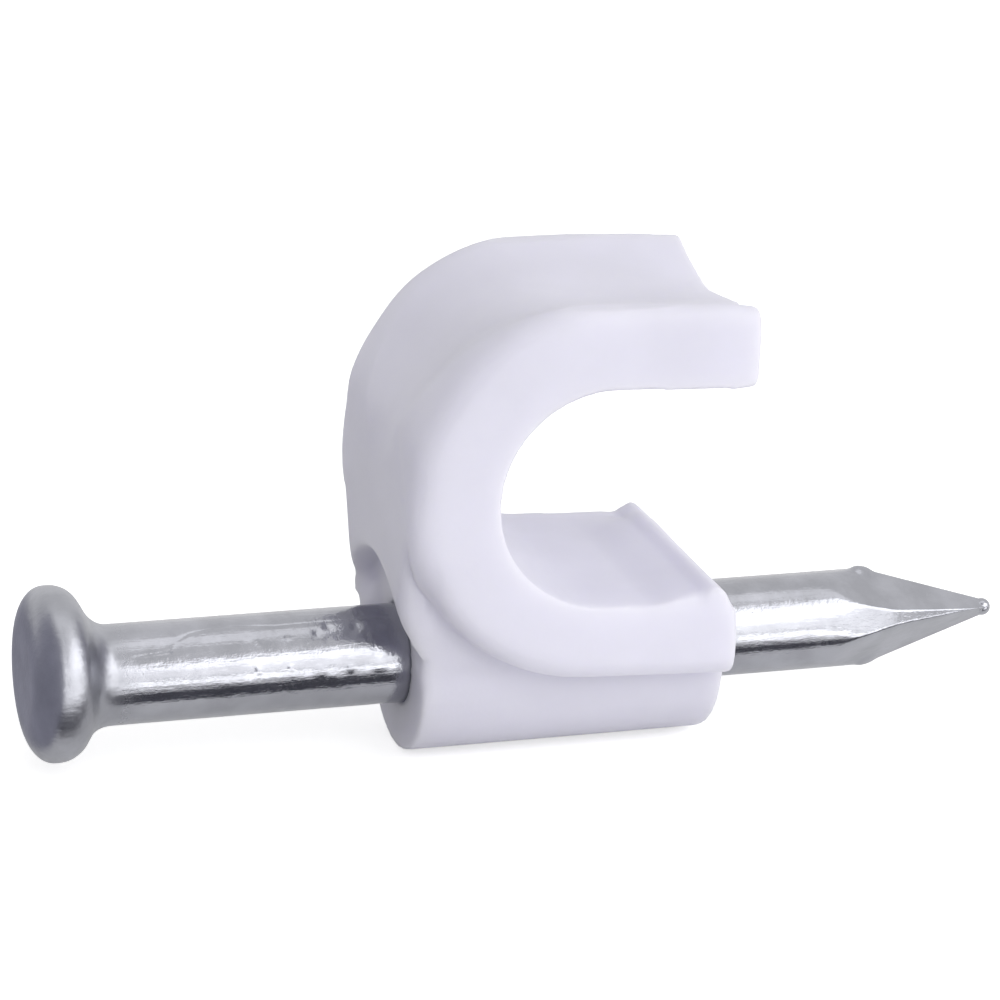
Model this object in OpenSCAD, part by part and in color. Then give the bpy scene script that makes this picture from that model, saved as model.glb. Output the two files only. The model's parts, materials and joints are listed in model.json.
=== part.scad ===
// Nail-in cable clip: a moulded hook that presses a round cable against a wall, with its steel nail
// already started in the boss. The nail lies along X with its point towards +X, the wall plane is
// X = 0 and the cable runs along Y.

/* [Cable channel] */
// Diameter of the round channel that holds the cable
cable_d = 4.42; // [3:0.02:8]
// Straight run of the arms from the cable's axis to the wall
arm_length = 2.88; // [2:0.02:6]
// Plastic left between the nail's bore and the channel's floor
floor_wall = 0.72; // [0.4:0.02:1.5]
// Slope of the hook's arms against the nail, down towards the wall
hook_tilt = 2.6; // [0:0.1:5]

/* [Hook] */
// Width of the hook along the cable
hook_w = 5.6; // [4.6:0.1:10]
// Thickness of the hook's band at the arms
band = 1.6; // [1.2:0.02:2.4]
// Extra thickness at the back of the bend
spine = 0.16; // [0.1:0.02:0.6]
// Rounding of the band's outer edges
edge_r = 0.45; // [0.1:0.05:0.6]
// Depth of the hollow along the outside of the band
hollow_depth = 0.6; // [0.2:0.02:0.7]
// Width of the rim left on each side of the hollow
rim_w = 0.22; // [0.1:0.02:0.6]
// Reach of the free arm past the wall plane, midway across the hook
arm_reach = 0.16; // [0:0.02:0.4]
// Skew of the free arm's end across the hook
arm_skew = 2; // [0:0.5:6]
// Setback of the lower arm's end from the wall plane
arm_setback = 0.12; // [0:0.02:0.3]
// Rounding of the free arm's end
arm_round = 0.14; // [0.1:0.02:0.5]

/* [Retaining lip] */
// Height of the lip above the channel's floor
lip_h = 0.27; // [0.1:0.01:0.5]
// Radius of the lip's rounded nose, from its crest down to the arm's end
lip_nose = 0.46; // [0.2:0.02:0.6]
// Slope of the nose at the crest
lip_lead = 30; // [10:1:45]
// Length of the ramp from the floor to the lip's crest
lip_ramp = 0.34; // [0.2:0.02:0.8]

/* [Nail boss] */
// Diameter of the boss round the nail
boss_d = 3.92; // [3.5:0.02:6]
// Radial clearance of the nail in its bore
bore_clearance = 0.04; // [0.02:0.01:0.1]
// Depth of the nail head's seat below the back of the bend
seat_depth = 0.58; // [0.3:0.02:1.2]
// Radial room round the nail's head on the floor of its seat
seat_room = 0.24; // [0.1:0.02:0.8]
// Angle at which the seat's wall opens towards the back
seat_flare = 27; // [0:1:45]
// Step from the boss's side to the side of the web above it
web_inset = 0.03; // [0.02:0.01:0.2]
// Draft of the web's back face
web_draft = 3.5; // [0:0.5:8]

/* [Nail] */
// Diameter of the nail's shank
shank_d = 2; // [1.4:0.02:2.4]
// Length of the nail from the head's face to the tip
nail_length = 20.5; // [18:0.05:40]
// How far the tip stands out past the wall plane before the nail is driven
nail_out = 6.65; // [5:0.05:8]
// Diameter of the nail's head
head_d = 3.48; // [2.8:0.02:4.4]
// Thickness of the head's rim
head_rim = 1.2; // [0.8:0.02:1.6]
// Rounding of the rim's edge at the struck face
face_edge = 0.34; // [0.1:0.02:0.5]
// Rounding of the rim's edge at the flare
head_edge = 0.44; // [0.1:0.02:0.5]
// Angle of the flare under the head against the nail's axis
flare_angle = 58; // [30:1:70]
// Radius of the fillet where the flare runs into the shank
neck_r = 0.46; // [0.1:0.02:0.6]
// How far that fillet bites into the flare and below the shank's surface
neck_bite = 0.02; // [0.01:0.01:0.05]
// Offset of the forged head from the shank's axis
head_offset = 0.11; // [0:0.02:0.2]
// Length of the four large flats of the cut point
point_length = 3.8; // [3:0.05:5]
// Turn of each large flat away from the point's upper and lower edges
flat_turn = 40; // [35:1:45]
// Length of the two narrow flats at the point's sides
side_length = 3.05; // [2.5:0.05:4]
// Distance of the large flats from the axis at the tip
tip_flat = 0.08; // [0.04:0.01:0.16]
// Distance of the narrow flats from the axis at the tip
tip_side = 0.18; // [0.1:0.01:0.3]
// Diameter of the rounded end of the tip
tip_d = 0.3; // [0.2:0.02:0.5]
// Turn of the point about the nail's axis
point_turn = -16; // [-45:1:45]
// Diameter of the burrs left where the point was pinched off
burr_d = 0.6; // [0.3:0.02:0.9]
// Height of those burrs above the shank
burr_h = 0.06; // [0.02:0.01:0.15]

/* [Hidden] */
$fn = 96;
shank_r = shank_d / 2;
bore_r = shank_r + bore_clearance;
boss_r = boss_d / 2;
cable_r = cable_d / 2;
outer_r = cable_r + band;
// The cable's axis above the nail's axis
cable_z = bore_r + floor_wall + cable_r;
// The back of the bend and the plane that the nail's head is driven down to
back_x = -(arm_length + spine + outer_r);
seat_x = back_x + seat_depth;
seat_r = head_d / 2 + seat_room;
web_half = boss_r - web_inset;
web_top_half = hook_w / 2 - edge_r;
web_lean = cable_z * tan(web_draft);
// The hollow's arc across the band, and how it runs out down the back of the bend
hollow_half = hook_w / 2 - rim_w;
hollow_r = (hollow_half * hollow_half + hollow_depth * hollow_depth) / (2 * hollow_depth);
hollow_shift = hollow_depth / 2;
hollow_floor_r = outer_r - hollow_depth + hollow_shift;
hollow_turn = 110;
// Nail stations along X
face_x = nail_out - nail_length;
head_r = head_d / 2;
tip_round_x = nail_out - tip_d / 2;
flat_angle = atan((shank_r - tip_flat) / point_length);
side_angle = atan((shank_r - tip_side) / side_length);
// Where the large flats meet in the point's upper and lower edges
shoulder_x = nail_out - point_length + shank_r * (1 - cos(flat_turn)) / tan(flat_angle);
// The flare starts on the rounded rim and runs into the shank
flare_r = head_r - head_edge + head_edge * cos(flare_angle);
flare_x = head_rim - head_edge + head_edge * sin(flare_angle);
flare_end_r = shank_r - head_offset;
flare_end_x = flare_x + (flare_r - flare_end_r) / tan(flare_angle);
neck_run = neck_r * tan(flare_angle / 2);
// Room for tools that cut past the part
past = 2 * (outer_r + arm_length);

// Places a shape drawn about the cable's axis, with its arms along +X
module on_cable_axis() {
    translate([-arm_length, 0, cable_z])
        rotate([0, hook_tilt, 0])
            children();
}

// Section of the band from the cable's axis outwards, along +X, with its outer edges rounded
module band_section() {
    half_w = hook_w / 2;
    translate([0, -half_w])
        square([outer_r - edge_r, hook_w]);
    translate([0, edge_r - half_w])
        square([outer_r, hook_w - 2 * edge_r]);
    for (side = [-1, 1])
        translate([outer_r - edge_r, side * (half_w - edge_r)])
            circle(edge_r);
}

// The hook's outside, filled: a half turn at the back and two straight arms
module hook_outside() {
    reach = arm_length + arm_reach + spine + 1;
    translate([-spine, 0, 0]) {
        rotate([90, 0, 0])
            rotate([0, 0, 90])
                rotate_extrude(angle = 180)
                    band_section();
        rotate([0, 90, 0])
            linear_extrude(reach)
                band_section();
        translate([reach, 0, 0])
            rotate([0, -90, 0])
                linear_extrude(reach)
                    band_section();
    }
}

// Tool for the hollow along the free arm and down the back of the bend
module hollow_tool() {
    translate([-spine - hollow_shift, 0, outer_r - hollow_depth + hollow_r])
        rotate([0, 90, 0])
            cylinder(r = hollow_r, h = past);
    translate([-spine - hollow_shift, 0, -hollow_shift])
        rotate([90, 0, 0])
            rotate([0, 0, 90])
                rotate_extrude(angle = hollow_turn)
                    translate([hollow_floor_r + hollow_r, 0])
                        circle(hollow_r);
}

// Tool for the cable's channel, with the retaining lip left standing at the mouth
module channel_tool() {
    nose_x = arm_length - arm_setback - lip_nose;
    crest_x = nose_x + lip_nose * sin(lip_lead);
    crest_z = lip_h - cable_r;
    nose_z = crest_z - lip_nose * cos(lip_lead);
    rotate([90, 0, 0])
        linear_extrude(2 * hook_w, center = true) {
            circle(cable_r);
            difference() {
                polygon([
                    [0, cable_r],
                    [past, cable_r],
                    [past, nose_z],
                    [crest_x, nose_z],
                    [crest_x, crest_z],
                    [crest_x - lip_ramp, -cable_r],
                    [0, -cable_r]
                ]);
                intersection() {
                    translate([nose_x, nose_z])
                        circle(lip_nose);
                    translate([crest_x, nose_z])
                        square(lip_nose);
                }
            }
        }
}

// Outline that trims the free arm, with a rounded end
module free_arm_trim() {
    top = cable_z + outer_r - arm_length * sin(hook_tilt);
    bottom = top - band;
    translate([-past, 0])
        square([past - arm_round, past]);
    translate([-past, bottom + arm_round])
        square([past, band - 2 * arm_round]);
    for (z = [bottom + arm_round, top - arm_round])
        translate([-arm_round, z])
            circle(arm_round);
}

// Tool that trims both arms at the wall side
module wall_trim() {
    translate([-past - arm_setback, -past, -past])
        cube([past, 2 * past, past + cable_z]);
    translate([arm_reach, 0, 0])
        rotate([90, 0, -arm_skew])
            linear_extrude(2 * past, center = true)
                free_arm_trim();
}

// Web that carries the back of the bend down to the boss and narrows on the way
module web() {
    intersection() {
        rotate([90, 0, 0])
            linear_extrude(hook_w, center = true)
                polygon([
                    [back_x, cable_z],
                    [back_x + web_lean, 0],
                    [-arm_length, 0],
                    [-arm_length, cable_z]
                ]);
        translate([-past, 0, 0])
            rotate([90, 0, 90])
                linear_extrude(past)
                    polygon([
                        [-web_top_half, cable_z],
                        [web_top_half, cable_z],
                        [web_half, 0],
                        [-web_half, 0]
                    ]);
    }
}

module clip_body() {
    color([0.9, 0.9, 0.94])
    difference() {
        union() {
            intersection() {
                on_cable_axis()
                    difference() {
                        hook_outside();
                        hollow_tool();
                    }
                wall_trim();
            }
            web();
            translate([seat_x, 0, 0])
                rotate([0, 90, 0])
                    cylinder(r = boss_r, h = -seat_x);
        }
        on_cable_axis()
            channel_tool();
        translate([seat_x, 0, 0])
            rotate([0, -90, 0])
                cylinder(r1 = seat_r, r2 = seat_r + past * tan(seat_flare), h = past);
        translate([-past - arm_length, 0, 0])
            rotate([0, 90, 0])
                cylinder(r = bore_r, h = 2 * past);
    }
}

// Half outline of the forged head: a rim with rounded edges and a flare down to the shank
module head_outline() {
    square([head_r - face_edge, head_rim / 2]);
    square([head_r - head_edge, head_rim]);
    translate([0, face_edge])
        square([head_r, head_rim - face_edge - head_edge]);
    translate([head_r - face_edge, face_edge])
        circle(face_edge);
    translate([head_r - head_edge, head_rim - head_edge])
        circle(head_edge);
    difference() {
        polygon([
            [0, flare_x],
            [flare_r, flare_x],
            [flare_end_r + neck_run * sin(flare_angle), flare_end_x - neck_run * cos(flare_angle)],
            [flare_end_r, flare_end_x + neck_run],
            [0, flare_end_x + neck_run]
        ]);
        translate([flare_end_r + neck_r - neck_bite, flare_end_x + neck_run])
            circle(neck_r);
    }
}

// Tool for one flat of the point, which starts on the shank and leans in towards the tip
module flat_tool(length, angle) {
    translate([nail_out - length, 0, shank_r])
        rotate([0, angle, 0])
            translate([-length / 2, -past / 2, 0])
                cube([2 * length, past, past]);
}

// Shank with its cut point, and the burrs at the point's shoulders
module shank() {
    start_x = face_x + head_rim / 2;
    difference() {
        translate([start_x, 0, 0])
            rotate([0, 90, 0])
                cylinder(r = shank_r, h = tip_round_x - start_x);
        for (turn = [flat_turn, 180 - flat_turn, 180 + flat_turn, -flat_turn])
            rotate([turn, 0, 0])
                flat_tool(point_length, flat_angle);
        for (turn = [90, 270])
            rotate([turn, 0, 0])
                flat_tool(side_length, side_angle);
    }
    for (side = [-1, 1])
        translate([shoulder_x, 0, side * (shank_r + burr_h - burr_d / 2)])
            sphere(burr_d / 2);
    translate([tip_round_x, 0, 0])
        sphere(tip_d / 2);
}

module nail() {
    color([0.72, 0.73, 0.76])
    union() {
        translate([face_x, 0, head_offset])
            rotate([0, 90, 0])
                rotate_extrude()
                    head_outline();
        rotate([point_turn, 0, 0])
            shank();
    }
}

clip_body();
nail();
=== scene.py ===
"""Looks for the nail-in cable clip: a soft-edged white moulding and a bright zinc-plated nail, on a pale
stage seen from the photograph's angle. Lengths in the code are millimetres until a mesh is written."""

import json
import math

import bmesh
import bpy
import numpy as np
from bpy.props import FloatProperty, FloatVectorProperty, IntProperty, PointerProperty
from mathutils import Matrix, Quaternion, Vector


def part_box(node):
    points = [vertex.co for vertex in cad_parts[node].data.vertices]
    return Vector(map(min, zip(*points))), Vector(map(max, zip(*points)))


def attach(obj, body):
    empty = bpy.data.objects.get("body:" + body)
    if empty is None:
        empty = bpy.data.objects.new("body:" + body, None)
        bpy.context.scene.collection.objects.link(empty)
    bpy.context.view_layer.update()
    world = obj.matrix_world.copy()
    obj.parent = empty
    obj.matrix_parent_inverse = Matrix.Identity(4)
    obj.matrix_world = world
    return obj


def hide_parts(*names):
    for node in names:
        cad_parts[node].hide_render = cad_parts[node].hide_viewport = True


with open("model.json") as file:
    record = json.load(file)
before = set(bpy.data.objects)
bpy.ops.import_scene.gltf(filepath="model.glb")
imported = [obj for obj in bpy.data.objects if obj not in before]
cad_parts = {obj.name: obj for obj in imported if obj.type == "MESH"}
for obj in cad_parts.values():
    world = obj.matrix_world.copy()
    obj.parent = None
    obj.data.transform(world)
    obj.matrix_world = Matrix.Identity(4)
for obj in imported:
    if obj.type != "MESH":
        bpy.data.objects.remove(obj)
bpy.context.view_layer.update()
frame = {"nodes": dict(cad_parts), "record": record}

bl_info = {
    "name": "Nail-in cable clip",
    "version": (1, 0, 0),
    "blender": (4, 5, 0),
    "location": "3D View > Sidebar > Cable clip",
    "description": "Builds the moulded clip, its plated nail and a pale studio stage",
    "category": "Object",
}

MM = 0.001
TINY = 1e-6

# Places and sizes that come from the frame
NAIL_LOW, NAIL_HIGH = (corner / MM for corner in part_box("nail"))
CLIP_LOW, CLIP_HIGH = (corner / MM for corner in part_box("clip_body"))
MOUNTS = {mount["name"]: mount for mount in frame["record"]["mounts"]}
CABLE_X, _, CABLE_Z = (place / MM for place in MOUNTS["cable_seat"]["pos_m"])
SHANK_RADIUS = MOUNTS["nail_point"]["dims"]["r_mm"]
HEAD_RADIUS = (NAIL_HIGH.z - NAIL_LOW.z) / 2
HEAD_OFFSET = (NAIL_HIGH.z + NAIL_LOW.z) / 2


class MouldingSettings(bpy.types.PropertyGroup):
    """Sizes and finish of the white moulding."""

    plastic_colour: FloatVectorProperty(
        name="Plastic colour", description="White of the moulding, with its cool tint",
        subtype="COLOR", size=3, min=0, max=1, default=(0.735, 0.725, 0.82))
    glow_depth: FloatProperty(
        name="Glow depth", description="How deep light wanders in the plastic",
        subtype="DISTANCE", default=0.7 * MM, min=0.05 * MM, max=5 * MM)
    grid: FloatProperty(
        name="Grid", description="Mesh spacing of the moulding",
        subtype="DISTANCE", default=0.062 * MM, min=0.05 * MM, max=0.3 * MM)
    edge_passes: IntProperty(
        name="Edge passes", description="Smoothing passes that round every moulded edge a little",
        default=5, min=0, max=40)
    bend_passes: IntProperty(
        name="Bend passes", description="Smoothing passes that round the outer edges of the bend",
        default=60, min=0, max=120)
    end_passes: IntProperty(
        name="End passes", description="Smoothing passes that round the ends of both arms and the far leg",
        default=14, min=0, max=60)
    leg_passes: IntProperty(
        name="Leg passes", description="Smoothing passes that round the seat's near leg into the boss",
        default=24, min=0, max=80)


class NailSettings(bpy.types.PropertyGroup):
    """Sizes and finish of the plated nail."""

    steel_colour: FloatVectorProperty(
        name="Steel colour", description="Tint of the plated steel",
        subtype="COLOR", size=3, min=0, max=1, default=(0.4, 0.405, 0.44))
    polish: FloatProperty(
        name="Roughness", description="Roughness of the plating",
        subtype="FACTOR", default=0.14, min=0.06, max=0.9)
    head_dulling: FloatProperty(
        name="Head dulling", description="Roughness that the forged head has above the drawn shank's",
        subtype="FACTOR", default=0.2, min=0, max=0.6)
    segments: IntProperty(
        name="Segments", description="Faces round the nail",
        default=240, min=48, max=320)
    wear: FloatProperty(
        name="Wear", description="Depth of the knocks and scratches along the shank",
        subtype="FACTOR", default=1, min=0, max=1)


class StageSettings(bpy.types.PropertyGroup):
    """Camera, light and floor."""

    azimuth: FloatProperty(
        name="Camera azimuth", description="Turn of the camera from the front towards the nail's head",
        subtype="ANGLE", default=math.radians(18.264))
    elevation: FloatProperty(
        name="Camera elevation", description="Height of the camera above the horizon",
        subtype="ANGLE", default=math.radians(19.472))
    roll: FloatProperty(
        name="Camera roll", description="Turn of the camera about its own line of sight",
        subtype="ANGLE", default=math.radians(2.416))
    distance: FloatProperty(
        name="Camera distance", description="Distance of the camera from its target",
        subtype="DISTANCE", default=81.918 * MM)
    target: FloatVectorProperty(
        name="Camera target", description="Point at the middle of the picture",
        subtype="TRANSLATION", size=3, default=(-4.222 * MM, 0, 3.094 * MM))
    lens: FloatProperty(
        name="Lens", description="Focal length of the camera on a 36 mm sensor",
        unit="CAMERA", default=148.19, min=20, max=400)
    floor_colour: FloatVectorProperty(
        name="Floor colour", description="Pale colour of the floor",
        subtype="COLOR", size=3, min=0, max=1, default=(0.82, 0.82, 0.82))
    ambient: FloatProperty(
        name="Ambient", description="Strength of the even light from all round",
        default=0.6, min=0, max=2)
    floor_glow: FloatProperty(
        name="Floor glow", description="White that the camera sees on the floor beside its own light",
        subtype="FACTOR", default=0.6, min=0, max=1)
    floor_shine: FloatProperty(
        name="Floor shine", description="White that the plating mirrors on the floor beside its own light",
        subtype="FACTOR", default=0.2, min=0, max=1)


def smooth_step(low, high, value):
    """Soft ramp from 0 at low to 1 at high, where low may be the larger of the two."""
    t = np.clip((value - low) / (high - low), 0, 1)
    return t * t * (3 - 2 * t)


def window(start, full, fade, end, value):
    """Soft stretch that is 1 from full to fade, and 0 before start and after end."""
    return smooth_step(start, full, value) * smooth_step(end, fade, value)


def mesh_piece(name, points, faces):
    """New smooth-shaded mesh object from points in millimetres."""
    mesh = bpy.data.meshes.new(name)
    mesh.from_pydata((points * MM).tolist(), [], faces)
    mesh.validate()
    mesh.shade_smooth()
    piece = bpy.data.objects.new(name, mesh)
    bpy.context.scene.collection.objects.link(piece)
    return piece


# Moulding


def gridded_solid(node, grid):
    """Points, quads and edges of a CAD node's skin on an even grid, in millimetres."""
    weld = 1e-4
    mesh = frame["nodes"][node].data.copy()
    mesh.transform(Matrix.Scale(1 / MM, 4))
    solid = bmesh.new()
    solid.from_mesh(mesh)
    bmesh.ops.remove_doubles(solid, verts=solid.verts, dist=weld)
    solid.to_mesh(mesh)
    solid.free()
    carrier = bpy.data.objects.new(node + "_grid", mesh)
    bpy.context.scene.collection.objects.link(carrier)
    remesh = carrier.modifiers.new("Even grid", "REMESH")
    remesh.mode = "VOXEL"
    remesh.voxel_size = grid
    gridded = carrier.evaluated_get(bpy.context.evaluated_depsgraph_get()).to_mesh()
    points = np.empty(len(gridded.vertices) * 3)
    gridded.vertices.foreach_get("co", points)
    faces = [tuple(face.vertices) for face in gridded.polygons]
    pairs = np.empty(len(gridded.edges) * 2, np.int32)
    gridded.edges.foreach_get("vertices", pairs)
    bpy.data.objects.remove(carrier)
    bpy.data.meshes.remove(mesh)
    if not faces:
        raise RuntimeError("the grid of " + node + " came out empty")
    return points.reshape(-1, 3), faces, pairs.reshape(-1, 2)


def relax(points, pairs, weight, passes):
    """Moves each point half the way to the middle of its neighbours, by its weight, a number of times."""
    count = np.bincount(pairs.ravel(), minlength=len(points))[:, None]
    for _ in range(passes):
        total = np.empty_like(points)
        for axis in range(3):
            total[:, axis] = (
                np.bincount(pairs[:, 0], points[pairs[:, 1], axis], len(points))
                + np.bincount(pairs[:, 1], points[pairs[:, 0], axis], len(points)))
        points = points + 0.5 * weight[:, None] * (total / count - points)
    return points


def hook_reach(points):
    """Distance of each point from the cable's axis round the bend, or from its level along the arms."""
    out_x = np.minimum(points[:, 0] - CABLE_X, 0)
    out_z = points[:, 2] - CABLE_Z
    return np.hypot(out_x, out_z)


def web_half(z):
    """Half the web's width at a height, which grows from the nail's axis to the cable's."""
    at_nail, at_cable = 1.93, 2.35
    return at_nail + (at_cable - at_nail) * z / CABLE_Z


def round_web_corners(points):
    """Rounds the two upright corners at the back of the web, and brings its back out over the seat."""
    draft = math.tan(math.radians(3.5))
    corner_round, skin, corner_heights = 0.42, 0.1, (-0.1, 0.4, 2.2, 3.4)
    back_step, step_heights, step_depth = 0.1, (0.5, 1.9, 2.8, 4.3), (0.5, 0.1)
    x, y, z = points.T
    back = CLIP_LOW.x + (CABLE_Z - z) * draft
    inward = x - back
    aside = web_half(z) - np.abs(y)
    zone = window(*corner_heights, z)
    corner = (inward < corner_round) & (aside < corner_round) & (aside > -skin) & (zone > 0)
    reach = np.hypot(inward - corner_round, aside - corner_round)
    pull = np.where(corner, zone * np.minimum(corner_round / np.maximum(reach, TINY) - 1, 0), 0)
    x = x + pull * (inward - corner_round)
    y = y - np.sign(y) * pull * (aside - corner_round)
    x = x - back_step * window(*step_heights, z) * smooth_step(*step_depth, x - back)
    return np.column_stack((x, y, z))


def lean_legs(points):
    """Lets the seat's far leg run straight down behind the nail, and the near one end in a soft curve."""
    far_lean, far_heights, far_side = 0.27, (-0.4, 0.3, 0.5, 1.15), (0.9, 1.5)
    near_lean, near_heights, near_side = 0.06, (-0.2, 0.2, 0.3, 0.6), (-1.2, -1.6)
    leg_depth = -5.9, -6.2
    x, y, z = points.T
    shift = (far_lean * window(*far_heights, z) * smooth_step(*far_side, y)
             + near_lean * window(*near_heights, z) * smooth_step(*near_side, y))
    return np.column_stack((x - shift * smooth_step(*leg_depth, x), y, z))


def swell_rims(points):
    """Brings the hook's rims back out to their full height after the smoothing."""
    bend_swell, bend_heights = 0.07, (4.4, 5.2)
    arm_swell, arm_heights, arm_run = 0.08, (6.0, 7.0), (0.1, -0.9)
    rim_reach = 2.9, 3.3
    x, y, z = points.T
    reach = hook_reach(points)
    swell = (bend_swell * smooth_step(*bend_heights, z)
             + arm_swell * smooth_step(*arm_heights, z) * smooth_step(*arm_run, x))
    swell = swell * smooth_step(*rim_reach, reach) / np.maximum(reach, TINY)
    return np.column_stack((x + swell * np.minimum(x - CABLE_X, 0), y, z + swell * (z - CABLE_Z)))


def sweep_lip(points):
    """Lets the channel's floor sweep up softly to the lip, but for its far end, where the step is short."""
    floor, lip_height, sweep_run = 1.76, 0.25, (-2.0, -0.7, -0.6, -0.2)
    skin_heights, near_side = (1.5, 1.72, 2.1, 2.3), (2.5, 1.5)
    x, y, z = points.T
    rise = lip_height * window(*sweep_run, x)
    short = np.maximum(floor + rise - np.maximum(z, floor), 0)
    return np.column_stack((x, y, z + short * window(*skin_heights, z) * smooth_step(*near_side, y)))


def square_arm_end(points):
    """Brings the hollow's end on the free arm back out after the smoothing, and up by the near rim."""
    push, push_side, push_run, push_heights = 0.09, (-2.3, -1.7, -0.8, 0.8), (-0.5, 0.0), (6.2, 6.6)
    rise, rise_side, rise_run, rise_heights = 0.11, (-1.75, -0.9, -0.4, 1.0), (-1.8, 0.0), (6.6, 7.0)
    x, y, z = points.T
    out = push * window(*push_side, y) * smooth_step(*push_run, x) * smooth_step(*push_heights, z)
    up = rise * window(*rise_side, y) * smooth_step(*rise_run, x) * smooth_step(*rise_heights, z)
    return np.column_stack((x + out, y, z + up))


def cut_creases(points):
    """Sharpens the crease between flange and web, and presses a faint sink mark into the bend's back."""
    flange_radius, crease_run, crease_heights = 3.81, (-2.2, -3.4), (3.2, 2.4)
    crease_depth, crease_width = 0.07, 0.11
    sink_depth, sink_width, sink_back = 0.02, 0.16, (-6.2, -6.4)
    top_y, top_z, foot_y, foot_z = -1.16, 5.06, -2.03, 3.96
    x, y, z = points.T
    off = np.hypot(np.hypot(x - CABLE_X, z - CABLE_Z) - flange_radius, np.abs(y) - web_half(z))
    crease = crease_depth * np.exp(-(off / crease_width) ** 2)
    crease = crease * smooth_step(*crease_run, x) * smooth_step(*crease_heights, z)
    run, rise = foot_y - top_y, foot_z - top_z
    along = np.clip(((y - top_y) * run + (z - top_z) * rise) / (run ** 2 + rise ** 2), 0, 1)
    off = np.hypot(y - top_y - along * run, z - top_z - along * rise)
    sink = sink_depth * np.exp(-(off / sink_width) ** 2) * smooth_step(*sink_back, x)
    return np.column_stack((x + sink, y - np.sign(y) * crease, z))


def tighten_bore(points):
    """Draws the bore's wall in to a close fit round the shank."""
    gap, wall_radius = 0.02, 1.1
    x, y, z = points.T
    from_nail = np.hypot(y, z)
    scale = np.where(from_nail < wall_radius, (SHANK_RADIUS + gap) / np.maximum(from_nail, TINY), 1)
    return np.column_stack((x, y * scale, z * scale))


def skin_weight(points):
    """Where the moulding is softened at all: everywhere but in the bore."""
    bore_radius, bore_start, bore_end = 1.3, CLIP_LOW.x + 0.7, -0.05
    x, y, z = points.T
    in_bore = (np.hypot(y, z) < bore_radius) & (x > bore_start) & (x < bore_end)
    return np.where(in_bore, 0, 1.0)


def bend_weight(points):
    """Where the outer edges are rounded: round the bend and the arm's start and, less, down to the foot."""
    rim_side, rim_reach, rim_heights = (1.5, 2.2), (2.7, 3.2), (1.6, 2.6)
    back_run, arm_run, arm_heights = (-1.8, -4.8), (-0.05, -0.7), (4.6, 5.6)
    start_run, start_heights = (-4.6, -3.4, -2.2, -1.2), (6.4, 6.8)
    foot_share, foot_run, foot_heights = 0.3, (-3.0, -4.0), (0.2, 0.7, 1.8, 2.4)
    x, y, z = points.T
    rim = smooth_step(*rim_side, np.abs(y)) * smooth_step(*rim_reach, hook_reach(points))
    behind = np.maximum(smooth_step(*back_run, x), smooth_step(*arm_heights, z) * smooth_step(*arm_run, x))
    return np.maximum.reduce([
        rim * behind * smooth_step(*rim_heights, z),
        window(*start_run, x) * smooth_step(*start_heights, z),
        foot_share * rim * smooth_step(*foot_run, x) * window(*foot_heights, z)])


def end_weight(points):
    """Where ends are rounded: the free arm's near end, the lower arm's nose and lip, the seat's far leg."""
    arm_run, arm_heights, arm_side = (-0.5, -0.1), (5.0, 5.5), (-1.3, -1.9)
    nose_run, nose_heights = (-0.75, -0.4), (0.9, 1.3, 2.2, 2.6)
    lip_run, lip_heights, lip_side = (-1.5, -1.2), (1.4, 1.6, 2.4, 2.9), (2.4, 1.4)
    leg_run, leg_heights, leg_side = (-6.0, -6.2), (-1.0, -0.3, 0.9, 1.3), (1.2, 1.6)
    x, y, z = points.T
    return np.maximum.reduce([
        smooth_step(*arm_run, x) * smooth_step(*arm_heights, z) * smooth_step(*arm_side, y),
        smooth_step(*nose_run, x) * window(*nose_heights, z),
        smooth_step(*lip_run, x) * window(*lip_heights, z) * smooth_step(*lip_side, y),
        smooth_step(*leg_run, x) * window(*leg_heights, z) * smooth_step(*leg_side, y)])


def near_leg_weight(points):
    """Where the seat's near leg is rounded into the boss."""
    leg_run, leg_heights, leg_side = (-6.0, -6.2), (-0.5, 0.0, 0.9, 1.3), (-1.4, -1.7)
    x, y, z = points.T
    return smooth_step(*leg_run, x) * window(*leg_heights, z) * smooth_step(*leg_side, y)


def build_moulding(settings):
    """Makes the soft-edged moulding that stands for the clip's solid."""
    points, faces, pairs = gridded_solid("clip_body", settings.grid / MM)
    skin = skin_weight(points)
    bend, ends, near_leg = (
        weight(points) * skin for weight in (bend_weight, end_weight, near_leg_weight))
    points = relax(points, pairs, bend, settings.bend_passes)
    points = relax(points, pairs, skin, settings.edge_passes)
    for shape in (round_web_corners, lean_legs, swell_rims, sweep_lip, square_arm_end):
        points = shape(points)
    points = relax(points, pairs, ends, settings.end_passes)
    points = relax(points, pairs, near_leg, settings.leg_passes)
    points = tighten_bore(cut_creases(points))
    points = np.clip(points, np.array(CLIP_LOW), np.array(CLIP_HIGH))
    piece = mesh_piece("clip_moulding", points, faces)
    piece.data.materials.append(plastic_finish(settings))
    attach(piece, "clip")
    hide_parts("clip_body")


# Nail


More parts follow.
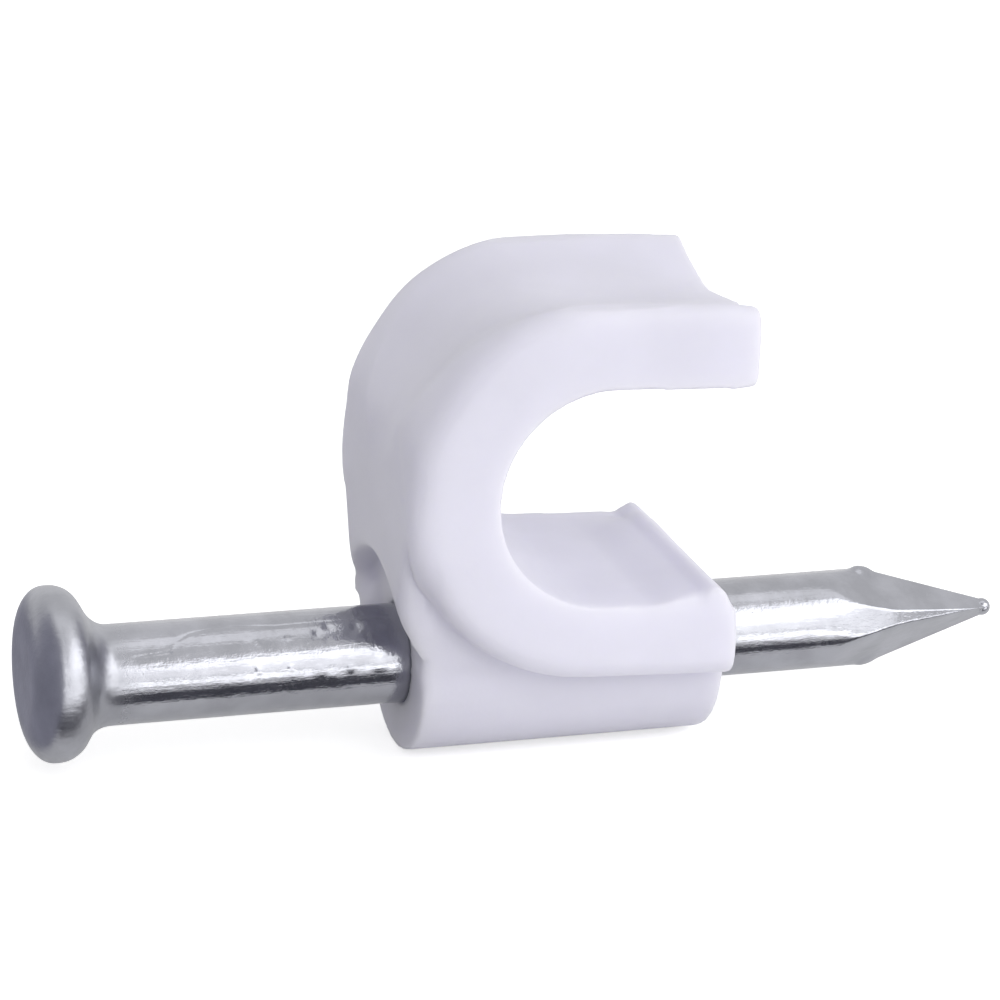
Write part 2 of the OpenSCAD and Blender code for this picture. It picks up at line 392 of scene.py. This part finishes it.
def head_profile():
    """Outline of the head from the middle of its face to the start of the shank: distance, radius."""
    face_depth, face_width, rim_width, edge_round, neck_round = 0.52, 0.8, 1.2, 0.6, 0.58
    turn = math.radians(58)
    centre_gap = 0.03
    face_rings, dome_rings, rim_rings, edge_rings, neck_rings = 12, 17, 4, 12, 14
    outline = [(0.0, radius) for radius in np.linspace(centre_gap, HEAD_RADIUS - face_width, face_rings)]
    for a in np.linspace(0, math.pi / 2, dome_rings)[1:]:
        outline.append((face_depth * (1 - math.cos(a)), HEAD_RADIUS - face_width * (1 - math.sin(a))))
    edge_start = rim_width - edge_round
    for along in np.linspace(face_depth, edge_start, rim_rings)[1:]:
        outline.append((along, HEAD_RADIUS))
    for a in np.linspace(0, turn, edge_rings)[1:]:
        outline.append((edge_start + edge_round * math.sin(a), HEAD_RADIUS - edge_round * (1 - math.cos(a))))
    flare_x, flare_r = outline[-1]
    neck_r = SHANK_RADIUS + neck_round * (1 - math.cos(turn))
    neck_x = flare_x + (flare_r - neck_r) / math.tan(turn)
    for t in (0.5, 1):
        outline.append((flare_x + t * (neck_x - flare_x), flare_r + t * (neck_r - flare_r)))
    for a in np.linspace(turn, 0, neck_rings)[1:]:
        outline.append((neck_x + neck_round * (math.sin(turn) - math.sin(a)),
                        SHANK_RADIUS + neck_round * (1 - math.cos(a))))
    return outline


def spot(x, angle, place, size, steep=1):
    """Soft round mark on the shank, 1 at its place (x in millimetres, angle in degrees)."""
    off = (angle - math.radians(place[1]) + math.pi) % (2 * math.pi) - math.pi
    return np.exp(-(((x - place[0]) ** 2 + off ** 2) / size ** 2) ** steep)


def shank_marks(x, angle, start, wear):
    """Height in millimetres of the shank's pimples, pits, knocks, long scratch and point burrs at x.
    Places are (x, angle in degrees), and all but the burrs fade in where the shank starts."""
    pimple_height, pimples = 0.015, (
        ((-9.35, 166), 0.07), ((-8.1, 173), 0.11), ((-8.7, 166), 0.06), ((-7.5, 171), 0.08),
        ((-6.9, 172), 0.12))
    pit_depth, pits = 0.012, (
        ((-9.5, 126), 0.07), ((-9.3, 136), 0.06), ((-8.7, 131), 0.08), ((-8.1, 127), 0.08),
        ((-7.85, 120), 0.1), ((-7.3, 123), 0.12), ((-6.8, 126), 0.1))
    knock_count, knock_start, knock_run, crowding = 260, -11.8, 5.5, 0.6
    knock_depths, knock_sizes = (0.0008, 0.004), (0.04, 0.1)
    scratch_depth, scratch_width, scratch_run = 0.012, 0.035, (-11.95, -11.7, -6.8, -6.4)
    scratch_x = -11.9, -11.1, -10.9, -10.6, -9.9, -8.9, -7.9, -6.4
    scratch_angle = 141, 137, 123, 114, 107, 113, 112, 111
    fade_in = 0.5
    burr_size, burr_steep, burrs = 0.22, 2, (((3.8, 74), 0.06), ((3.8, 254), 0.03))
    height = np.zeros(angle.shape)
    for place, size in pimples:
        height += pimple_height * spot(x, angle, place, size)
    for place, size in pits:
        height -= pit_depth * spot(x, angle, place, size)
    knocks = np.random.default_rng(11)
    for _ in range(knock_count):
        place = (knock_start + knock_run * knocks.random() ** crowding, knocks.uniform(0, 360))
        depth = knocks.uniform(*knock_depths)
        height -= depth * spot(x, angle, place, knocks.uniform(*knock_sizes))
    line = math.radians(np.interp(x, scratch_x, scratch_angle))
    height -= scratch_depth * window(*scratch_run, x) * np.exp(-((angle - line) / scratch_width) ** 2)
    height *= wear * smooth_step(start, start + fade_in, x)
    for place, burr in burrs:
        height += burr * spot(x, angle, place, burr_size, burr_steep)
    return height


def point_radius(x, angle):
    """Radius of the cut point at x, from its four large flats and the narrow ones on its two sides.
    A flat is the way it faces, its length, and its distance from the axis at the tip."""
    turn, up = math.radians(-16), math.radians(90)
    large_cut, side_cuts = (3.8, 0.08), ((2.95, 0.165), (3.8, 0.62))
    lead, grazing, sharpness = 1.5, 0.05, 48
    flats = [(up + math.radians(a), *large_cut) for a in (40, -40, 140, -140)]
    flats += [(up + math.radians(a), *cut) for a in (90, -90) for cut in side_cuts]
    inverse = np.full(angle.shape, 1 / SHANK_RADIUS) ** sharpness
    for facing, length, at_tip in flats:
        cut_run = np.maximum(x - (NAIL_HIGH.x - length), -lead)
        away = SHANK_RADIUS - cut_run * (SHANK_RADIUS - at_tip) / length
        toward = np.cos(angle - facing - turn)
        inverse = inverse + np.where(toward > grazing, np.maximum(toward, grazing) / away, 0) ** sharpness
    return inverse ** (-1 / sharpness)


def nail_rings(settings, angle):
    """Rings of the nail from head to tip: x, radius at each angle, and height of the ring's centre."""
    lift_fade = 0.9, 1.7
    seat_x, wall_x, point_x, tip_run, tip_ball = -6.1, 0, 2.8, 0.45, 0.18
    marked_step, hidden_step, plain_step, point_step, tip_step = 0.04, 0.25, 0.08, 0.05, 0.02
    inset, tip_gap = 0.1, 0.01
    tip_x = NAIL_HIGH.x
    rings = []
    for along, radius in head_profile():
        lift = HEAD_OFFSET * (1 - smooth_step(*lift_fade, along))
        rings.append((NAIL_LOW.x + along, np.full(angle.shape, radius), lift))
    start = rings[-1][0]
    stations = np.concatenate([
        np.arange(start + marked_step, seat_x, marked_step),
        np.arange(seat_x + inset, wall_x - inset, hidden_step),
        np.arange(wall_x, point_x, plain_step),
        np.arange(point_x, tip_x - tip_run, point_step),
        np.arange(tip_x - tip_run, tip_x - tip_gap, tip_step)])
    for x in stations:
        radius = point_radius(x, angle) + shank_marks(x, angle, start, settings.wear)
        round_tip = math.sqrt(max(tip_ball ** 2 - (x - tip_x + tip_ball) ** 2, 0))
        radius = np.maximum(radius, round_tip) if x < tip_x - tip_ball else np.full(angle.shape, round_tip)
        rings.append((x, radius, 0.0))
    return rings


def build_nail(settings):
    """Makes the plated nail that stands for the nail's solid, as one skin over its rings."""
    count = settings.segments
    angle = np.arange(count) * 2 * math.pi / count
    rings = nail_rings(settings, angle)
    points = [
        np.column_stack((np.full(count, x), radius * np.cos(angle), lift + radius * np.sin(angle)))
        for x, radius, lift in rings]
    points = np.vstack((*points, (NAIL_LOW.x, 0, HEAD_OFFSET), (NAIL_HIGH.x, 0, 0)))
    last_ring = (len(rings) - 1) * count
    face_mid, tip_mid = len(points) - 2, len(points) - 1
    faces = []
    for ring in range(0, last_ring, count):
        for j in range(count):
            k = (j + 1) % count
            faces.append((ring + j, ring + count + j, ring + count + k, ring + k))
    for j in range(count):
        k = (j + 1) % count
        faces.append((face_mid, j, k))
        faces.append((tip_mid, last_ring + k, last_ring + j))
    piece = mesh_piece("plated_nail", points, faces)
    piece.data.materials.append(plated_finish(settings))
    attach(piece, "nail")
    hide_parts("nail")


# Finishes


def finish(name):
    """New node material, its node tree and its shader."""
    material = bpy.data.materials.new(name)
    material.use_nodes = True
    tree = material.node_tree
    return material, tree, tree.nodes["Principled BSDF"]


def noise(tree, coordinates, scale, detail=3.0, roughness=0.5, stretch=(1, 1, 1)):
    """Noise on object coordinates, with so many waves a millimetre."""
    mapping = tree.nodes.new("ShaderNodeMapping")
    mapping.inputs["Scale"].default_value = [scale / MM * s for s in stretch]
    tree.links.new(coordinates, mapping.inputs["Vector"])
    texture = tree.nodes.new("ShaderNodeTexNoise")
    texture.inputs["Scale"].default_value = 1
    texture.inputs["Detail"].default_value = detail
    texture.inputs["Roughness"].default_value = roughness
    tree.links.new(mapping.outputs["Vector"], texture.inputs["Vector"])
    return texture.outputs["Fac"]


def tint(tree, value, colour, low, high, dark, light):
    """Ramp of a colour, from its dark share at low to its light share at high."""
    node = tree.nodes.new("ShaderNodeValToRGB")
    for stop, position, share in zip(node.color_ramp.elements, (low, high), (dark, light)):
        stop.position = position
        stop.color = (*(min(channel * share, 1) for channel in colour), 1)
    tree.links.new(value, node.inputs["Fac"])
    return node.outputs["Color"]


def spread(tree, value, low, high):
    """Maps a 0 to 1 value to low to high."""
    node = tree.nodes.new("ShaderNodeMapRange")
    node.inputs["To Min"].default_value = low
    node.inputs["To Max"].default_value = high
    tree.links.new(value, node.inputs["Value"])
    return node.outputs["Result"]


def combine(tree, operation, values):
    """Joins values two by two with a maths operation."""
    result = values[0]
    for value in values[1:]:
        node = tree.nodes.new("ShaderNodeMath")
        node.operation = operation
        tree.links.new(result, node.inputs[0])
        tree.links.new(value, node.inputs[1])
        result = node.outputs["Value"]
    return result


def grain(tree, heights, shader):
    """Chain of bump nodes, one for each (height, strength, depth in millimetres)."""
    normal = None
    for height, strength, depth in heights:
        bump = tree.nodes.new("ShaderNodeBump")
        bump.inputs["Strength"].default_value = strength
        bump.inputs["Distance"].default_value = depth * MM
        tree.links.new(height, bump.inputs["Height"])
        if normal is not None:
            tree.links.new(normal, bump.inputs["Normal"])
        normal = bump.outputs["Normal"]
    tree.links.new(normal, shader.inputs["Normal"])


def plastic_finish(settings):
    """Satin white plastic, a little clouded, that light sinks into."""
    material, tree, shader = finish("white_moulded_plastic")
    coordinates = tree.nodes.new("ShaderNodeTexCoord").outputs["Object"]
    cloud = noise(tree, coordinates, scale=0.5)
    fine = noise(tree, coordinates, scale=12, detail=2)
    waves = noise(tree, coordinates, scale=2.5)
    white = tint(tree, cloud, settings.plastic_colour, low=0.3, high=0.7, dark=0.97, light=1.02)
    tree.links.new(white, shader.inputs["Base Color"])
    tree.links.new(spread(tree, fine, low=0.36, high=0.5), shader.inputs["Roughness"])
    shader.inputs["Subsurface Weight"].default_value = 0.6
    shader.inputs["Subsurface Radius"].default_value = (1.0, 0.98, 1.06)
    shader.inputs["Subsurface Scale"].default_value = settings.glow_depth
    shader.inputs["Specular IOR Level"].default_value = 0.35
    shader.inputs["IOR"].default_value = 1.5
    grain(tree, [(fine, 0.15, 0.01), (waves, 0.1, 0.02)], shader)
    return material


def plated_finish(settings):
    """Bright plating with drawing lines along the shank, duller on the forged head."""
    shank_end, head_end = NAIL_LOW.x + 2.5, NAIL_LOW.x + 1.3
    smoothest, roughest = settings.polish - 0.06, settings.polish + 0.1
    material, tree, shader = finish("bright_zinc_plate")
    coordinates = tree.nodes.new("ShaderNodeTexCoord").outputs["Object"]
    cloud = noise(tree, coordinates, scale=1.5, detail=4)
    fine = noise(tree, coordinates, scale=11, roughness=0.65)
    drawn = noise(tree, coordinates, scale=9, roughness=0.6, stretch=(0.12, 1, 1))
    steel = tint(tree, cloud, settings.steel_colour, low=0.35, high=0.65, dark=0.9, light=1.06)
    tree.links.new(steel, shader.inputs["Base Color"])
    shader.inputs["Metallic"].default_value = 1
    along = tree.nodes.new("ShaderNodeSeparateXYZ")
    tree.links.new(coordinates, along.inputs["Vector"])
    forged = tree.nodes.new("ShaderNodeMapRange")
    forged.interpolation_type = "SMOOTHSTEP"
    forged.inputs["From Min"].default_value = shank_end * MM
    forged.inputs["From Max"].default_value = head_end * MM
    forged.inputs["To Max"].default_value = settings.head_dulling
    tree.links.new(along.outputs["X"], forged.inputs["Value"])
    rough = combine(tree, "ADD", [spread(tree, fine, smoothest, roughest), forged.outputs["Result"]])
    tree.links.new(rough, shader.inputs["Roughness"])
    grain(tree, [(fine, 0.6, 0.008), (drawn, 0.55, 0.012)], shader)
    return material


# Stage


def softbox(name, place, aim, size, radiance, spin=0.0):
    """Area light of a given radiance, unseen by the camera."""
    light = bpy.data.lights.new(name, "AREA")
    light.shape = "RECTANGLE"
    light.size, light.size_y = size[0] * MM, size[1] * MM
    light.energy = radiance * math.pi * light.size * light.size_y
    lamp = bpy.data.objects.new(name, light)
    lamp.location = Vector(place) * MM
    facing = (Vector(aim) - Vector(place)).to_track_quat("-Z", "Y")
    lamp.rotation_euler = (facing @ Quaternion((0, 0, 1), spin)).to_euler()
    lamp.visible_camera = False
    bpy.context.scene.collection.objects.link(lamp)
    return lamp


def card(name, points, faces, grey, blue=1.0):
    """Plain card of a given brightness, unseen by the camera and without a shadow."""
    piece = mesh_piece(name, np.array(points, float), faces)
    material, _, shader = finish(name)
    shader.inputs["Base Color"].default_value = (0, 0, 0, 1)
    shader.inputs["Specular IOR Level"].default_value = 0
    shader.inputs["Emission Color"].default_value = (1, 1, blue, 1)
    shader.inputs["Emission Strength"].default_value = grey
    piece.data.materials.append(material)
    piece.visible_camera = False
    piece.visible_shadow = False
    piece.visible_transmission = False
    return piece


def shine_card(name, stations, radiance):
    """Bright card that only shiny surfaces mirror, from (x, low, high), heights in degrees at the nail."""
    far = 90
    points = []
    for x, low, high in stations:
        for height in (math.radians(low), math.radians(high)):
            points.append((x, -far * math.cos(height), far * math.sin(height)))
    faces = [(2 * i, 2 * i + 2, 2 * i + 3, 2 * i + 1) for i in range(len(stations) - 1)]
    card(name, points, faces, radiance).visible_diffuse = False


def shade_card(name, corners, grey):
    """Dull bluish card that only shiny surfaces mirror, from its four corners."""
    blue = 1.2
    card(name, corners, [(0, 1, 2, 3)], grey, blue).visible_diffuse = False


def flag(name, corners):
    """Black card on the floor that takes its light off the plastic, clear from below and in the plating."""
    piece = card(name, corners, [(0, 1, 2, 3)], 0)
    piece.visible_glossy = False
    tree = piece.data.materials[0].node_tree
    clear = tree.nodes.new("ShaderNodeBsdfTransparent")
    side = tree.nodes.new("ShaderNodeMixShader")
    tree.links.new(tree.nodes.new("ShaderNodeNewGeometry").outputs["Backfacing"], side.inputs["Fac"])
    tree.links.new(tree.nodes["Principled BSDF"].outputs["BSDF"], side.inputs[1])
    tree.links.new(clear.outputs["BSDF"], side.inputs[2])
    tree.links.new(side.outputs["Shader"], tree.nodes["Material Output"].inputs["Surface"])


def build_world(settings):
    """White surround, which lights the object less than it shows."""
    world = bpy.data.worlds.new("white_surround")
    world.use_nodes = True
    bpy.context.scene.world = world
    tree = world.node_tree
    background = tree.nodes["Background"]
    rays = tree.nodes.new("ShaderNodeLightPath").outputs
    seen = combine(
        tree, "MAXIMUM", [rays["Is Camera Ray"], rays["Is Glossy Ray"], rays["Is Transmission Ray"]])
    background.inputs["Color"].default_value = (1, 1, 1, 1)
    tree.links.new(spread(tree, seen, settings.ambient, 1), background.inputs["Strength"])


def build_floor(settings):
    """Pale floor just under the boss, whitened for the camera and, less, for the plating."""
    half, gap = 3000, 0.01
    level = CLIP_LOW.z - gap
    corners = [(-half, -half, level), (half, -half, level), (half, half, level), (-half, half, level)]
    floor = mesh_piece("floor", np.array(corners), [(0, 1, 2, 3)])
    material, tree, shader = finish("pale_floor")
    shader.inputs["Base Color"].default_value = (*settings.floor_colour, 1)
    shader.inputs["Roughness"].default_value = 0.9
    shader.inputs["Specular IOR Level"].default_value = 0
    shader.inputs["Emission Color"].default_value = (1, 1, 1, 1)
    rays = tree.nodes.new("ShaderNodeLightPath").outputs
    glow = combine(tree, "MAXIMUM", [
        spread(tree, rays["Is Camera Ray"], 0, settings.floor_glow),
        spread(tree, rays["Is Glossy Ray"], 0, settings.floor_shine),
        spread(tree, rays["Is Transmission Ray"], 0, settings.floor_glow)])
    tree.links.new(glow, shader.inputs["Emission Strength"])
    floor.data.materials.append(material)


def build_camera(settings):
    """Camera that sees the object as the photograph does."""
    azimuth, elevation, roll = settings.azimuth, settings.elevation, settings.roll
    back = Vector((
        -math.sin(azimuth) * math.cos(elevation),
        -math.cos(azimuth) * math.cos(elevation),
        math.sin(elevation)))
    right = Vector((math.cos(azimuth), -math.sin(azimuth), 0))
    up = back.cross(right)
    across = right * math.cos(roll) + up * math.sin(roll)
    upright = up * math.cos(roll) - right * math.sin(roll)
    data = bpy.data.cameras.new("photo_camera")
    data.sensor_width = 36
    data.lens = settings.lens
    data.clip_start, data.clip_end = 1 * MM, 20
    camera = bpy.data.objects.new("photo_camera", data)
    turn = Matrix((across, upright, back)).transposed().to_4x4()
    camera.matrix_world = Matrix.Translation(Vector(settings.target) + back * settings.distance) @ turn
    bpy.context.scene.collection.objects.link(camera)
    bpy.context.scene.camera = camera


def build_lights():
    """Softboxes that light the plastic, and a flag that keeps the floor's light off its left end."""
    middle = -4, 0, 2
    level = CLIP_LOW.z
    lamps = (
        softbox("key_softbox", place=(5, -185, 150), aim=middle, size=(170, 130), radiance=2.3),
        softbox("right_softbox", place=(190, -70, 110), aim=middle, size=(150, 130), radiance=2.9),
        softbox("front_reflector", place=(-2, -8.5, level), aim=(-2, -8.5, 50), size=(18, 11), radiance=0.28))
    for lamp in lamps:
        lamp.visible_glossy = False
    flag("left_flag", [(-14, -5, level), (-7, -5, level), (-7, 5, level), (-14, 5, level)])


def build_reflections():
    """Bright and dull cards that draw the bands on the plated nail."""
    level, top = CLIP_LOW.z, 240
    left, front, far = -95, -40, 60
    shine_card("upper_card", [(-5, 22, 30), (12, 22, 37), (42, 22, 72), (170, 22, 75)], radiance=2.9)
    shine_card("middle_card", [(-5, 3, 22), (90, 3, 22)], radiance=2.1)
    shine_card("top_card", [(-20, 76, 100), (60, 76, 100)], radiance=1.5)
    low_card = softbox(
        "low_card", place=(14, -33.5, level), aim=(14, -33.5, 50), size=(60, 54), radiance=2.0,
        spin=math.radians(-9))
    low_card.visible_diffuse = False
    for name, grey, corners in (
            ("dark_floor_card", 0.1, [
                (-15, -5.7, level), (12, -4.1, level), (12, -2.8, level), (-15, -2.2, level)]),
            ("dark_point_card", 0.12, [
                (12, -5.5, level), (40, -16, level), (40, -7, level), (12, -2.8, level)]),
            ("dull_floor_card", 0.35, [
                (left, -60, level), (-14.2, -60, level), (-14.2, far, level), (left, far, level)]),
            ("dull_left_card", 0.35, [
                (left, front, level), (left, far, level), (left, far, top), (left, front, top)]),
            ("dull_front_card", 0.35, [
                (-9, -95, level), (left, front, level), (left, front, top), (-9, -95, top)])):
        shade_card(name, corners, grey)


def build_stage(settings):
    """Makes the surround, the floor, the camera and the light."""
    bpy.context.scene.view_settings.view_transform = "Standard"
    build_world(settings)
    build_floor(settings)
    build_camera(settings)
    build_lights()
    build_reflections()


# Operators and panel


class BuildMoulding(bpy.types.Operator):
    """Builds the white moulding with its soft edges"""

    bl_idname = "cable_clip.build_moulding"
    bl_label = "Build moulding"

    def execute(self, context):
        build_moulding(context.scene.clip_moulding)
        return {"FINISHED"}


class BuildNail(bpy.types.Operator):
    """Builds the plated nail with its forged head and cut point"""

    bl_idname = "cable_clip.build_nail"
    bl_label = "Build nail"

    def execute(self, context):
        build_nail(context.scene.clip_nail)
        return {"FINISHED"}


class BuildStage(bpy.types.Operator):
    """Builds the floor, the lights, the surround and the camera"""

    bl_idname = "cable_clip.build_stage"
    bl_label = "Build stage"

    def execute(self, context):
        build_stage(context.scene.clip_stage)
        return {"FINISHED"}


class CableClipPanel(bpy.types.Panel):
    """Lists the clip's builders and their settings"""

    bl_idname = "VIEW3D_PT_cable_clip"
    bl_label = "Cable clip"
    bl_space_type = "VIEW_3D"
    bl_region_type = "UI"
    bl_category = "Cable clip"

    def draw(self, context):
        scene = context.scene
        for group, builder in (
                (scene.clip_moulding, BuildMoulding),
                (scene.clip_nail, BuildNail),
                (scene.clip_stage, BuildStage)):
            box = self.layout.box()
            for name in group.__annotations__:
                box.prop(group, name)
            box.operator(builder.bl_idname)


CLASSES = (
    MouldingSettings, NailSettings, StageSettings,
    BuildMoulding, BuildNail, BuildStage, CableClipPanel)


def register():
    for item in CLASSES:
        bpy.utils.register_class(item)
    bpy.types.Scene.clip_moulding = PointerProperty(type=MouldingSettings)
    bpy.types.Scene.clip_nail = PointerProperty(type=NailSettings)
    bpy.types.Scene.clip_stage = PointerProperty(type=StageSettings)


def unregister():
    del bpy.types.Scene.clip_stage
    del bpy.types.Scene.clip_nail
    del bpy.types.Scene.clip_moulding
    for item in reversed(CLASSES):
        bpy.utils.unregister_class(item)


def main():
    register()
    bpy.ops.cable_clip.build_moulding()
    bpy.ops.cable_clip.build_nail()
    bpy.ops.cable_clip.build_stage()


if __name__ == "__main__":
    main()
